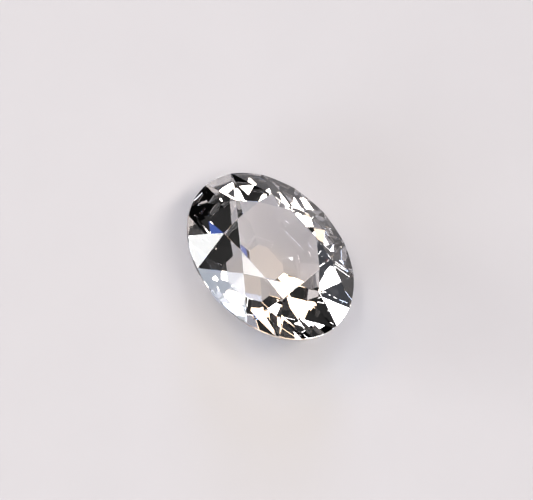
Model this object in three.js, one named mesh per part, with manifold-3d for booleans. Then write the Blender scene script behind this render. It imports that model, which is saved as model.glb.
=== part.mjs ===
import * as THREE from 'three';
import { mergeVertices } from 'three/addons/utils/BufferGeometryUtils.js';
import Module from 'manifold-3d';

// Cut topaz, an oval brilliant, standing level on the small flat facet at its point.
// Millimetres, +Z up through the table, +X along the oval. The origin is the middle of the flat at the point.

// Driving dimensions
const LENGTH = 13;
const WIDTH = 10;
const GIRDLE_THICKNESS = 0.35;
const CROWN_HEIGHT = 2.2;
const PAVILION_DEPTH = 4.5;

// Proportions, as shares of the girdle's radius in the same direction
const TABLE_SHARE = 0.51;
const STAR_TIP_SHARE = 0.64;
const LOWER_KNOT_SHARE = 0.45;
const FLAT_SHARE = 0.2;

// Main facets round the stone, and flat steps in which its round girdle wall is made
const MAINS = 8;
const GIRDLE_STEPS = 96;

const UP = new THREE.Vector3(0, 0, 1);

// Points closer than this are one point
const SAME_POINT = 1e-5;

const STEP = (2 * Math.PI) / MAINS;
const HALF_STEP = STEP / 2;

// The flat cuts the point off, so the stone ends a little above where the pavilion mains would meet.
const flatHeight = 0;
const pointHeight = flatHeight - FLAT_SHARE * PAVILION_DEPTH;
const girdleBottom = pointHeight + PAVILION_DEPTH;
const girdleTop = girdleBottom + GIRDLE_THICKNESS;
const tableHeight = girdleTop + CROWN_HEIGHT;

// Rise of a crown main over one girdle radius. A pavilion main sinks by the whole pavilion depth over one radius.
const crownRise = CROWN_HEIGHT / (1 - TABLE_SHARE);

// A point at a share of the oval's radius. The angle is laid out on a circle that is then stretched to the oval.
function ovalPoint(angle, share, height) {
  const x = (LENGTH / 2) * share * Math.cos(angle);
  const y = (WIDTH / 2) * share * Math.sin(angle);
  return new THREE.Vector3(x, y, height);
}

// Star tips lie on the axes and the diagonals, and the crown mains midway between them. The pavilion mains
// lie under the star tips.
const tipAngle = (k) => k * STEP;
const midAngle = (k) => tipAngle(k) + HALF_STEP;

// How far a main facet has run in from the girdle at a point on its side edge, as a share of the radius
const runIn = (share) => 1 - share * Math.cos(HALF_STEP);

// Corners where facets meet
const tableCorner = (k) => ovalPoint(midAngle(k), TABLE_SHARE, tableHeight);
const starTip = (k) => ovalPoint(tipAngle(k), STAR_TIP_SHARE, girdleTop + crownRise * runIn(STAR_TIP_SHARE));
const lowerKnot = (k) =>
  ovalPoint(midAngle(k), LOWER_KNOT_SHARE, girdleBottom - PAVILION_DEPTH * runIn(LOWER_KNOT_SHARE));
const stonePoint = new THREE.Vector3(0, 0, pointHeight);
const heart = new THREE.Vector3(0, 0, girdleBottom);

// The plane through three corners of a facet, facing away from the stone's heart
function facetPlane(a, b, c) {
  const plane = new THREE.Plane().setFromCoplanarPoints(a, b, c);
  return plane.distanceToPoint(heart) > 0 ? plane.negate() : plane;
}

function facetPlanes() {
  const planes = [];
  for (let k = 0; k < MAINS; k++) {
    const upper = ovalPoint(midAngle(k), 1, girdleTop);
    const lower = ovalPoint(tipAngle(k), 1, girdleBottom);
    // Star, crown main and pavilion main
    planes.push(facetPlane(starTip(k + 1), tableCorner(k), tableCorner(k + 1)));
    planes.push(facetPlane(upper, starTip(k), starTip(k + 1)));
    planes.push(facetPlane(lower, lowerKnot(k), stonePoint));
    // Upper halves on either side of the crown main, and lower halves on either side of the pavilion main
    for (const tip of [k, k + 1]) {
      planes.push(facetPlane(starTip(tip), upper, ovalPoint(tipAngle(tip), 1, girdleTop)));
    }
    for (const knot of [k - 1, k]) {
      planes.push(facetPlane(lowerKnot(knot), lower, ovalPoint(midAngle(knot), 1, girdleBottom)));
    }
  }
  return planes;
}

const wasm = await Module();
wasm.setup();

function toSolid(geometry) {
  geometry.deleteAttribute('normal');
  geometry.deleteAttribute('uv');
  const merged = mergeVertices(geometry, SAME_POINT);
  return new wasm.Manifold(new wasm.Mesh({
    numProp: 3,
    vertProperties: new Float32Array(merged.attributes.position.array),
    triVerts: new Uint32Array(merged.index.array),
  }));
}

// The oval blank from the flat up to the table. Its side is the wall of the finished girdle.
function ovalBlank() {
  const outline = [];
  for (let i = 0; i < GIRDLE_STEPS; i++) {
    const corner = ovalPoint((i * 2 * Math.PI) / GIRDLE_STEPS, 1, 0);
    outline.push(new THREE.Vector2(corner.x, corner.y));
  }
  const depth = tableHeight - flatHeight;
  const geometry = new THREE.ExtrudeGeometry(new THREE.Shape(outline), { depth, bevelEnabled: false });
  geometry.translate(0, 0, flatHeight);
  return toSolid(geometry);
}

// A block on the outer side of a facet plane, wide enough to take off all that is beyond it
function grindingBlock(plane) {
  const size = 2 * (LENGTH + tableHeight);
  const geometry = new THREE.BoxGeometry(size, size, size);
  geometry.translate(0, 0, size / 2);
  geometry.applyQuaternion(new THREE.Quaternion().setFromUnitVectors(UP, plane.normal));
  const onPlane = plane.projectPoint(heart, new THREE.Vector3());
  geometry.translate(onPlane.x, onPlane.y, onPlane.z);
  return toSolid(geometry);
}

function cutStone() {
  let stone = ovalBlank();
  for (const plane of facetPlanes()) {
    stone = stone.subtract(grindingBlock(plane));
  }
  const cut = stone.getMesh();
  const geometry = new THREE.BufferGeometry();
  geometry.setAttribute('position', new THREE.BufferAttribute(new Float32Array(cut.vertProperties), 3));
  geometry.setIndex(new THREE.BufferAttribute(new Uint32Array(cut.triVerts), 1));
  geometry.computeVertexNormals();
  return geometry;
}

// Polished colourless crystal
const crystal = new THREE.MeshStandardMaterial({
  color: 0xf4f6f8,
  roughness: 0.02,
  metalness: 0,
  flatShading: true,
});

const stone = new THREE.Mesh(cutStone(), crystal);
stone.name = 'topaz';

const model = new THREE.Group();
model.add(stone);

export default model;
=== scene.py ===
"""A colourless topaz cut as an oval brilliant, standing table up on a pale surface in soft studio light."""
import logging
import math
from collections.abc import Sequence
from dataclasses import dataclass, field
from enum import Enum

import bmesh
import bpy
from mathutils import Matrix, Vector


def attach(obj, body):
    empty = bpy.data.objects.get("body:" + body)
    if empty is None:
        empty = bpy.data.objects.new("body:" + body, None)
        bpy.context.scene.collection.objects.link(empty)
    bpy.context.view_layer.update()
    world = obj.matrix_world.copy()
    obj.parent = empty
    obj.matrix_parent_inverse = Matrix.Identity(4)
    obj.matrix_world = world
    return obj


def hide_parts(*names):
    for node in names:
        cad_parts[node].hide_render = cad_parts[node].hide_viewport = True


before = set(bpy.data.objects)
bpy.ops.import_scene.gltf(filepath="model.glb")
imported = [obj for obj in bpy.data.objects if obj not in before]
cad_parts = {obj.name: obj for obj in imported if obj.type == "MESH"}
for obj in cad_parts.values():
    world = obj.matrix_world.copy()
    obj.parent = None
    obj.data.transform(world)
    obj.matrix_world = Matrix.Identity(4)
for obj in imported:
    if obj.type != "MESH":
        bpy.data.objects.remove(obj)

log = logging.getLogger("topaz")

# What a node's input takes: a plain number, or the output of another node that gives it
Number = bpy.types.NodeSocket | float

MM = 0.001
TURN = 2 * math.pi


def from_hex(colour: str) -> tuple[float, float, float, float]:
    """Turns an sRGB hex value into the linear colour that a shader takes.

    Args:
        colour: six hex digits, such as "f4f6f8".

    Returns:
        Linear red, green and blue, and an alpha of one.
    """
    parts = [int(colour[i:i + 2], 16) / 255 for i in (0, 2, 4)]
    linear = [c / 12.92 if c <= 0.04045 else ((c + 0.055) / 1.055) ** 2.4 for c in parts]
    return (*linear, 1.0)


def add_node(
    tree: bpy.types.NodeTree, kind: str, inputs: dict[str | int, object] | None = None, **settings: object
) -> bpy.types.Node:
    """Adds a node, sets its properties and sets or links its inputs.

    Args:
        tree: the node tree that gets it.
        kind: the node's type name.
        inputs: for each input's name or number a value, or the output socket that it is linked to.
        **settings: the node's own properties.

    Returns:
        The new node.
    """
    node = tree.nodes.new(kind)
    for name, value in settings.items():
        setattr(node, name, value)
    for name, value in (inputs or {}).items():
        if isinstance(value, bpy.types.NodeSocket):
            tree.links.new(value, node.inputs[name])
        else:
            node.inputs[name].default_value = value
    return node


def new_material(name: str) -> tuple[bpy.types.Material, bpy.types.NodeTree]:
    """Makes an empty node material.

    Args:
        name: what the material is and how its surface was made.

    Returns:
        The material and its node tree.
    """
    material = bpy.data.materials.new(name)
    material.use_nodes = True
    material.node_tree.nodes.clear()
    return material, material.node_tree


def add_object(name: str, data: bpy.types.ID) -> bpy.types.Object:
    """Puts a mesh, lamp or camera into the scene, at the origin.

    Args:
        name: the object's name.
        data: its mesh, light or camera data.

    Returns:
        The new object.
    """
    made = bpy.data.objects.new(name, data)
    bpy.context.scene.collection.objects.link(made)
    return made


@dataclass(frozen=True)
class PolishedTopaz:
    """Colourless topaz, lapped and polished.

    To the eye each facet is a flat mirror and a clear window at once. It bends what lies behind it, and only
    the longest ways through the stone take on a trace of warmth.
    """

    tint: str = "fdfdfe"
    roughness: float = 0.0
    ior: float = 1.62
    absorbed: str = "f0e2d2"
    absorption_per_m: float = 20.0

    def material(self) -> bpy.types.Material:
        """Builds the clear crystal from plain transmission, IOR and absorption values.

        Returns:
            The material.
        """
        material, tree = new_material("topaz_polished")
        shader = add_node(tree, "ShaderNodeBsdfPrincipled", {
            "Base Color": from_hex(self.tint),
            "Roughness": self.roughness,
            "IOR": self.ior,
            "Transmission Weight": 1.0,
        })
        volume = add_node(tree, "ShaderNodeVolumeAbsorption", {
            "Color": from_hex(self.absorbed),
            "Density": self.absorption_per_m,
        })
        add_node(tree, "ShaderNodeOutputMaterial", {
            "Surface": shader.outputs["BSDF"],
            "Volume": volume.outputs["Volume"],
        })
        return material


@dataclass(frozen=True)
class BrutedGirdle:
    """Topaz ground round against a wheel and left fine-ground.

    To the eye it is a thin, silky grey band. Real grit leaves marks of about 0.02 mm, too fine to show, so
    the grain is drawn at a little over twice that.
    """

    tint: str = "a4a4a8"
    ior: float = 1.62
    roughness: tuple[float, float] = (0.24, 0.42)
    grain_mm: float = 0.05
    grain_octaves: float = 2.0
    grain_depth_mm: float = 0.004
    grain_strength: float = 0.25

    def material(self) -> bpy.types.Material:
        """Builds the ground band, whose grain varies its roughness and stands up as a slight relief.

        Returns:
            The material.
        """
        material, tree = new_material("topaz_bruted")
        place = add_node(tree, "ShaderNodeTexCoord")
        grain = add_node(tree, "ShaderNodeTexNoise", {
            "Vector": place.outputs["Object"],
            "Scale": 1 / (self.grain_mm * MM),
            "Detail": self.grain_octaves,
        })
        smoothest, roughest = self.roughness
        rough = add_node(tree, "ShaderNodeMapRange", {
            "Value": grain.outputs["Fac"],
            "To Min": smoothest,
            "To Max": roughest,
        })
        bump = add_node(tree, "ShaderNodeBump", {
            "Height": grain.outputs["Fac"],
            "Strength": self.grain_strength,
            "Distance": self.grain_depth_mm * MM,
        })
        shader = add_node(tree, "ShaderNodeBsdfPrincipled", {
            "Base Color": from_hex(self.tint),
            "Roughness": rough.outputs["Result"],
            "IOR": self.ior,
            "Transmission Weight": 1.0,
            "Normal": bump.outputs["Normal"],
        })
        add_node(tree, "ShaderNodeOutputMaterial", {"Surface": shader.outputs["BSDF"]})
        return material


@dataclass(frozen=True)
class MattPaint:
    """A board with sprayed matt paint, which gives an even pale surface with a barely seen mottling."""

    colour: str = "b1afb0"
    roughness: float = 0.85
    specular_level: float = 0.2
    mottle_mm: float = 6.0
    mottle_octaves: float = 3.0
    mottle_shades: tuple[float, float] = (0.98, 1.02)

    def material(self) -> bpy.types.Material:
        """Builds the pale matt surface that the stone stands on.

        Returns:
            The material.
        """
        material, tree = new_material("board_matt_painted")
        place = add_node(tree, "ShaderNodeTexCoord")
        mottle = add_node(tree, "ShaderNodeTexNoise", {
            "Vector": place.outputs["Object"],
            "Scale": 1 / (self.mottle_mm * MM),
            "Detail": self.mottle_octaves,
        })
        darkest, lightest = self.mottle_shades
        light = add_node(tree, "ShaderNodeMapRange", {
            "Value": mottle.outputs["Fac"],
            "To Min": darkest,
            "To Max": lightest,
        })
        shade = add_node(tree, "ShaderNodeVectorMath", {
            0: from_hex(self.colour)[:3],
            "Scale": light.outputs["Result"],
        }, operation="SCALE")
        shader = add_node(tree, "ShaderNodeBsdfPrincipled", {
            "Base Color": shade.outputs["Vector"],
            "Roughness": self.roughness,
            "Specular IOR Level": self.specular_level,
        })
        add_node(tree, "ShaderNodeOutputMaterial", {"Surface": shader.outputs["BSDF"]})
        return material


class Side(Enum):
    """The part of the stone over or under the girdle, by the direction in which it rises from it."""

    CROWN = 1
    PAVILION = -1


@dataclass(frozen=True)
class StoneLayout:
    """The node tree of the stone while it is laid out, with the sockets of its named sizes.

    A ring is laid out on a circle of unit radius and then stretched to the oval, so the facets are those of a
    round brilliant, stretched along one axis.
    """

    tree: bpy.types.NodeTree
    size: bpy.types.bpy_prop_collection

    def work_out(self, operation: str, first: Number, second: Number = 0.0) -> bpy.types.NodeSocket:
        """Socket of the number that an operation gives on one or two others."""
        node = add_node(self.tree, "ShaderNodeMath", {0: first, 1: second}, operation=operation)
        return node.outputs["Value"]

    def stretch(self, ring: bpy.types.NodeSocket, share: Number, height: Number) -> bpy.types.NodeSocket:
        """Stretches a ring of unit radius to a share of the oval, and lifts it.

        Args:
            ring: socket of the unit ring.
            share: share of the oval's radius.
            height: lift in millimetres.

        Returns:
            The socket of the stretched ring.
        """
        half_length = self.work_out("MULTIPLY", self.size["Length"], 0.5)
        half_width = self.work_out("MULTIPLY", self.size["Width"], 0.5)
        scale = add_node(self.tree, "ShaderNodeCombineXYZ", {
            "X": self.work_out("MULTIPLY", half_length, share),
            "Y": self.work_out("MULTIPLY", half_width, share),
            "Z": 1.0,
        })
        lift = add_node(self.tree, "ShaderNodeCombineXYZ", {"Z": height})
        return add_node(self.tree, "GeometryNodeTransform", {
            "Geometry": ring,
            "Translation": lift.outputs["Vector"],
            "Scale": scale.outputs["Vector"],
        }).outputs["Geometry"]

    def ring(self, count: int, turn: float, share: Number, height: Number) -> bpy.types.NodeSocket:
        """Lays out the corners of one ring of facets.

        Args:
            count: number of corners.
            turn: angle of the first corner.
            share: share of the oval's radius.
            height: height in millimetres.

        Returns:
            The socket of the ring.
        """
        circle = add_node(self.tree, "GeometryNodeMeshCircle", {"Vertices": count, "Radius": 1.0})
        turned = add_node(self.tree, "GeometryNodeTransform", {
            "Geometry": circle.outputs["Mesh"],
            "Rotation": (0.0, 0.0, turn),
        })
        return self.stretch(turned.outputs["Geometry"], share, height)

    def girdle_edge(
        self, count: int, arc: float, height: Number, slope: Number, side: Side
    ) -> bpy.types.NodeSocket:
        """Lays out one edge of the girdle, into which each half facet cuts a shallow arc.

        Args:
            count: number of points round the stone.
            arc: angle that one half facet takes up.
            height: height of the arcs' ends in millimetres.
            slope: rise of the half facets for one radius.
            side: crown for the upper edge, pavilion for the lower one.

        Returns:
            The socket of the ring.
        """
        circle = add_node(self.tree, "GeometryNodeMeshCircle", {"Vertices": count, "Radius": 1.0})
        position = add_node(self.tree, "GeometryNodeInputPosition")
        place = add_node(self.tree, "ShaderNodeSeparateXYZ", {"Vector": position.outputs["Position"]})
        angle = self.work_out("ARCTAN2", place.outputs["Y"], place.outputs["X"])
        off_middle = self.work_out("SUBTRACT", self.work_out("FLOORED_MODULO", angle, arc), arc / 2)
        bulge = self.work_out("SUBTRACT", self.work_out("COSINE", off_middle), math.cos(arc / 2))
        dip = self.work_out("MULTIPLY", self.work_out("MULTIPLY", bulge, slope), -side.value)
        shift = add_node(self.tree, "ShaderNodeCombineXYZ", {"Z": dip})
        arcs = add_node(self.tree, "GeometryNodeSetPosition", {
            "Geometry": circle.outputs["Mesh"],
            "Offset": shift.outputs["Vector"],
        })
        return self.stretch(arcs.outputs["Geometry"], 1.0, height)

    def span(self, rings: Sequence[bpy.types.NodeSocket], crystal: bpy.types.Material) -> None:
        """Spans the stone over its rings of corners as one convex body, in metres, and ends the tree.

        Args:
            rings: the sockets of the rings.
            crystal: the stone's material.
        """
        joined = add_node(self.tree, "GeometryNodeJoinGeometry")
        for ring in rings:
            self.tree.links.new(ring, joined.inputs["Geometry"])
        hull = add_node(self.tree, "GeometryNodeConvexHull", {"Geometry": joined.outputs["Geometry"]})
        metres = add_node(self.tree, "GeometryNodeTransform", {
            "Geometry": hull.outputs["Convex Hull"],
            "Scale": (MM, MM, MM),
        })
        flat = add_node(self.tree, "GeometryNodeSetShadeSmooth", {
            "Geometry": metres.outputs["Geometry"],
            "Shade Smooth": False,
        })
        real = add_node(self.tree, "GeometryNodeRealizeInstances", {"Geometry": flat.outputs["Geometry"]})
        clear = add_node(self.tree, "GeometryNodeSetMaterial", {
            "Geometry": real.outputs["Geometry"],
            "Material": crystal,
        })
        add_node(self.tree, "NodeGroupOutput", {"Geometry": clear.outputs["Geometry"]})


@dataclass
class OvalBrilliant:
    """The cut stone: rings of facet corners at shares of the oval's radius, and the body that they span.

    Sizes are in millimetres, and shares are of the girdle's radius in the same direction. Star tips lie on
    the axes and the diagonals, crown mains midway between them, and pavilion mains under them. The pavilion's
    depth runs to the point where its mains would meet. The bevel on the facet edges is edge_width wide.
    Points nearer than same_point are one point, faces within same_plane_deg of each other are one facet, and
    a face whose unit normal rises by less than upright_normal is girdle wall.
    """

    length: float = 13.0
    width: float = 10.0
    girdle_thickness: float = 0.35
    crown_height: float = 2.2
    pavilion_depth: float = 4.5
    table_share: float = 0.51
    star_tip_share: float = 0.64
    lower_knot_share: float = 0.45
    flat_share: float = 0.2
    mains: int = 8
    girdle_steps: int = 96
    edge_width: float = 0.025
    same_point: float = 0.0005
    same_plane_deg: float = 0.2
    upright_normal: float = 0.05
    crystal: PolishedTopaz = field(default_factory=PolishedTopaz)
    ground: BrutedGirdle = field(default_factory=BrutedGirdle)

    @property
    def half_step(self) -> float:
        """Angle from a star tip to the middle of the next crown main, which one half facet takes up."""
        return TURN / self.mains / 2

    @property
    def girdle_bottom(self) -> float:
        """Height of the girdle's lower corners over the flat."""
        return self.pavilion_depth * (1 - self.flat_share)

    @property
    def girdle_top(self) -> float:
        """Height of the girdle's upper corners over the flat."""
        return self.girdle_bottom + self.girdle_thickness

    @property
    def table_height(self) -> float:
        """Height of the table over the flat, which is the stone's height."""
        return self.girdle_top + self.crown_height

    def knot_rise(self, side: Side) -> float:
        """How far a main facet has risen, or sunk, where the halves meet it.

        Args:
            side: crown or pavilion.

        Returns:
            The distance from the girdle's corners in millimetres, always positive.
        """
        if side is Side.CROWN:
            slope, share = self.crown_height / (1 - self.table_share), self.star_tip_share
        else:
            slope, share = self.pavilion_depth, self.lower_knot_share
        return slope * (1 - share * math.cos(self.half_step))

    def half_slope(self, side: Side) -> float:
        """Rise of a half facet in millimetres for one girdle radius along its own middle line."""
        share = self.star_tip_share if side is Side.CROWN else self.lower_knot_share
        return self.knot_rise(side) / ((1 - share) * math.cos(self.half_step / 2))

    def sizes(self) -> dict[str, float]:
        """Works out the values that the tree takes.

        Returns:
            Each value by the name of its input.
        """
        return {
            "Length": self.length,
            "Width": self.width,
            "Table Share": self.table_share,
            "Table Height": self.table_height,
            "Star Tip Share": self.star_tip_share,
            "Star Tip Height": self.girdle_top + self.knot_rise(Side.CROWN),
            "Girdle Top": self.girdle_top,
            "Girdle Bottom": self.girdle_bottom,
            "Upper Half Slope": self.half_slope(Side.CROWN),
            "Lower Half Slope": self.half_slope(Side.PAVILION),
            "Lower Knot Share": self.lower_knot_share,
            "Lower Knot Height": self.girdle_bottom - self.knot_rise(Side.PAVILION),
            "Flat Corner Share": self.flat_share / math.cos(self.half_step),
        }

    def build_tree(self) -> bpy.types.NodeTree:
        """Makes the tree that lays out the rings of corners and spans the stone over them.

        Returns:
            The node tree, with one named input for each size.
        """
        tree = bpy.data.node_groups.new("oval_brilliant", "GeometryNodeTree")
        tree.interface.new_socket("Geometry", in_out="INPUT", socket_type="NodeSocketGeometry")
        tree.interface.new_socket("Geometry", in_out="OUTPUT", socket_type="NodeSocketGeometry")
        for name in self.sizes():
            tree.interface.new_socket(name, in_out="INPUT", socket_type="NodeSocketFloat")
        size = add_node(tree, "NodeGroupInput").outputs
        layout = StoneLayout(tree, size)
        at_tips, between_tips = 0.0, self.half_step
        steps, arc = self.girdle_steps, self.half_step
        layout.span([
            layout.ring(self.mains, between_tips, size["Table Share"], size["Table Height"]),
            layout.ring(self.mains, at_tips, size["Star Tip Share"], size["Star Tip Height"]),
            layout.girdle_edge(steps, arc, size["Girdle Top"], size["Upper Half Slope"], Side.CROWN),
            layout.girdle_edge(steps, arc, size["Girdle Bottom"], size["Lower Half Slope"], Side.PAVILION),
            layout.ring(self.mains, between_tips, size["Lower Knot Share"], size["Lower Knot Height"]),
            layout.ring(self.mains, between_tips, size["Flat Corner Share"], 0.0),
        ], self.crystal.material())
        return tree

    def build(self) -> bpy.types.Object:
        """Builds the stone, takes the keenness off its facet edges and dresses it.

        Returns:
            The finished piece.
        """
        tree = self.build_tree()
        holder = add_object("stone_layout", bpy.data.meshes.new("stone_layout"))
        modifier = holder.modifiers.new("facets", "NODES")
        modifier.node_group = tree
        sockets = {item.name: item.identifier for item in tree.interface.items_tree if item.in_out == "INPUT"}
        for name, value in self.sizes().items():
            modifier[sockets[name]] = value
        bpy.context.view_layer.update()
        solved = holder.evaluated_get(bpy.context.evaluated_depsgraph_get())
        mesh = bpy.data.meshes.new_from_object(solved)
        mesh.name = "cut_topaz"
        bpy.data.objects.remove(holder)
        crystal = next(m for m in mesh.materials if m)
        mesh.materials.clear()
        mesh.materials.append(crystal)
        mesh.materials.append(self.ground.material())
        self.finish_edges(mesh)
        return add_object("cut_topaz", mesh)

    def finish_edges(self, mesh: bpy.types.Mesh) -> None:
        """Joins each facet into one face, marks the girdle band and takes the keenness off the facet edges.

        Args:
            mesh: the stone's mesh, in metres.
        """
        stone = bmesh.new()
        stone.from_mesh(mesh)
        bmesh.ops.remove_doubles(stone, verts=stone.verts, dist=self.same_point * MM)
        bmesh.ops.dissolve_limit(
            stone, angle_limit=math.radians(self.same_plane_deg), verts=stone.verts, edges=stone.edges,
            use_dissolve_boundaries=False,
        )
        bmesh.ops.recalc_face_normals(stone, faces=stone.faces)
        for face in stone.faces:
            face.smooth = False
            face.material_index = 1 if abs(face.normal.z) < self.upright_normal else 0
        keen = [edge for edge in stone.edges if not all(face.material_index for face in edge.link_faces)]
        bmesh.ops.bevel(
            stone, geom=keen, offset=self.edge_width * MM, offset_type="WIDTH", segments=1, profile=0.5,
            affect="EDGES", clamp_overlap=True, material=0,
        )
        stone.to_mesh(mesh)
        stone.free()


@dataclass(frozen=True)
class Softbox:
    """One soft lamp, placed by the direction it shines from and sized by how large it looks from the stone.

    Angles are in degrees. The spread is how wide and how high the lamp looks, and its brightness is a
    multiple of the white that the picture shows.
    """

    name: str
    azimuth: float
    elevation: float
    spread: tuple[float, float]
    brightness: float
    colour: str = "ffffff"
    distance_mm: float = 1500.0

    def side_m(self, angle: float) -> float:
        """Length in metres that looks as wide as an angle, given in degrees, at the lamp's distance."""
        return 2 * self.distance_mm * MM * math.tan(math.radians(angle) / 2)

    def light(self, target: Vector) -> bpy.types.Object:
        """Puts the lamp up and turns it to the stone.

        Args:
            target: what it shines at, in metres.

        Returns:
            The lamp's object.
        """
        data = bpy.data.lights.new(self.name, "AREA")
        data.shape = "RECTANGLE"
        wide, high = self.spread
        data.size, data.size_y = self.side_m(wide), self.side_m(high)
        # An even lamp gives off pi times its radiance from each square metre
        data.energy = self.brightness * math.pi * data.size * data.size_y
        data.color = from_hex(self.colour)[:3]
        turn, lift = math.radians(self.azimuth), math.radians(self.elevation)
        away = Vector((math.cos(lift) * math.cos(turn), math.cos(lift) * math.sin(turn), math.sin(lift)))
        place = Matrix.Translation(target + away * self.distance_mm * MM)
        lamp = add_object(self.name, data)
        lamp.matrix_world = place @ away.to_track_quat("Z", "Y").to_matrix().to_4x4()
        return lamp


@dataclass
class Studio:
    """The pale floor, the soft lamps and the camera.

    The camera's place is given by the direction from the stone to it, the direction that points right in the
    picture, and the stone's length and middle in pixels. It sees from nearest_share to farthest_share of its
    distance from the stone. The surround is the dim room behind the lamps.
    """

    stone: OvalBrilliant
    floor_mm: float = 3000.0
    floor_gap_mm: float = 0.02
    paint: MattPaint = field(default_factory=MattPaint)
    surround: str = "8f8f90"
    surround_strength: float = 0.11
    to_camera: tuple[float, float, float] = (0.1094, -0.3977, 0.9110)
    camera_right: tuple[float, float, float] = (0.6683, 0.7079, 0.2288)
    stone_length_px: float = 193.14
    frame_px: tuple[int, int] = (533, 500)
    stone_px: tuple[float, float] = (270.5, 256.1)
    lens_mm: float = 368.0
    sensor_mm: float = 36.0
    nearest_share: float = 0.1
    farthest_share: float = 10.0
    softboxes: tuple[Softbox, ...] = (
        Softbox("softbox_key", 222.0, 14.5, (22.0, 19.0), 16.0),
        Softbox("softbox_front", 256.0, 17.5, (24.0, 17.0), 8.3, "e6efff"),
        Softbox("softbox_front_right", 277.0, 21.0, (14.0, 26.0), 11.0, "f2f7ff"),
        Softbox("softbox_left", 194.0, 44.0, (42.0, 18.0), 4.4, "ffe0c0"),
        Softbox("softbox_back_left", 138.0, 23.0, (20.0, 28.0), 8.0, "a6c4ff"),
        Softbox("softbox_back", 55.0, 18.5, (40.0, 28.0), 0.6, "dce6ff"),
        Softbox("softbox_top", 2.0, 73.0, (58.0, 12.0), 10.7, "fff6ec"),
        Softbox("softbox_high_front", 233.0, 66.0, (34.0, 10.0), 9.0),
        Softbox("softbox_high_back", 150.0, 66.0, (10.0, 12.0), 7.0),
        Softbox("softbox_high_right", 333.0, 69.0, (12.0, 12.0), 5.0),
        Softbox("strip_back", 105.0, 56.0, (30.0, 4.0), 5.0, "cfe0ff"),
        Softbox("strip_over", 126.0, 77.0, (16.0, 4.0), 6.0),
        Softbox("blue_panel", 335.0, 54.0, (9.0, 9.0), 0.8, "4a6ccc"),
        Softbox("warm_panel", 105.4, 65.6, (5.0, 5.0), 1.7, "ffe6cc"),
    )

    def build_floor(self) -> bpy.types.Object:
        """Lays the pale floor a hair under the stone's flat, so that the two faces don't coincide.

        Returns:
            The floor's object.
        """
        half, low = self.floor_mm / 2 * MM, -self.floor_gap_mm * MM
        corners = [(-half, -half, low), (half, -half, low), (half, half, low), (-half, half, low)]
        mesh = bpy.data.meshes.new("pale_floor")
        mesh.from_pydata(corners, [], [(0, 1, 2, 3)])
        mesh.materials.append(self.paint.material())
        floor = add_object("pale_floor", mesh)
        return floor

    def build_light(self) -> list[bpy.types.Object]:
        """Sets the dim room and the softboxes.

        Returns:
            The lamps' objects.
        """
        world = bpy.data.worlds.new("dim_studio")
        world.use_nodes = True
        tree = world.node_tree
        tree.nodes.clear()
        glow = add_node(tree, "ShaderNodeBackground", {
            "Color": from_hex(self.surround),
            "Strength": self.surround_strength,
        })
        add_node(tree, "ShaderNodeOutputWorld", {"Surface": glow.outputs["Background"]})
        bpy.context.scene.world = world
        target = Vector((0, 0, self.stone.girdle_top * MM))
        return [softbox.light(target) for softbox in self.softboxes]

    def build_camera(self) -> bpy.types.Object:
        """Sets the camera at the photograph's angle, with the stone at its place in the frame.

        Returns:
            The camera's object.
        """
        data = bpy.data.cameras.new("camera")
        data.lens = self.lens_mm
        data.sensor_width = self.sensor_mm
        data.sensor_fit = "HORIZONTAL"
        back = Vector(self.to_camera).normalized()
        right = Vector(self.camera_right)
        right = (right - back * right.dot(back)).normalized()
        up = back.cross(right)
        px_per_m = self.stone_length_px / (self.stone.length * MM)
        focal_px = self.lens_mm / self.sensor_mm * self.frame_px[0]
        distance = focal_px / px_per_m
        middle = (self.stone.girdle_bottom + self.stone.girdle_top) / 2 * MM
        off_x = (self.stone_px[0] - self.frame_px[0] / 2) / px_per_m
        off_y = (self.frame_px[1] / 2 - self.stone_px[1]) / px_per_m
        place = Vector((0, 0, middle)) + back * distance - right * off_x - up * off_y
        turn = Matrix((right, up, back)).transposed().to_4x4()
        data.clip_start = distance * self.nearest_share
        data.clip_end = distance * self.farthest_share
        camera = add_object("camera", data)
        camera.matrix_world = Matrix.Translation(place) @ turn
        bpy.context.scene.camera = camera
        return camera


def main() -> None:
    """Builds the stone and the studio."""
    logging.basicConfig(level=logging.INFO, format="%(message)s")
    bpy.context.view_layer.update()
    stone = OvalBrilliant()
    piece = stone.build()
    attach(piece, "root")
    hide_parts("topaz")
    log.info("%s: %d faces, %.2f mm high", piece.name, len(piece.data.polygons), stone.table_height)
    studio = Studio(stone)
    log.info("%s: %.0f mm square", studio.build_floor().name, studio.floor_mm)
    for lamp in studio.build_light():
        log.info("%s: %.3f W", lamp.name, lamp.data.energy)
    log.info("%s: %.0f mm lens", studio.build_camera().name, studio.lens_mm)
    bpy.context.scene.view_settings.view_transform = "Standard"


if __name__ == "__main__":
    main()
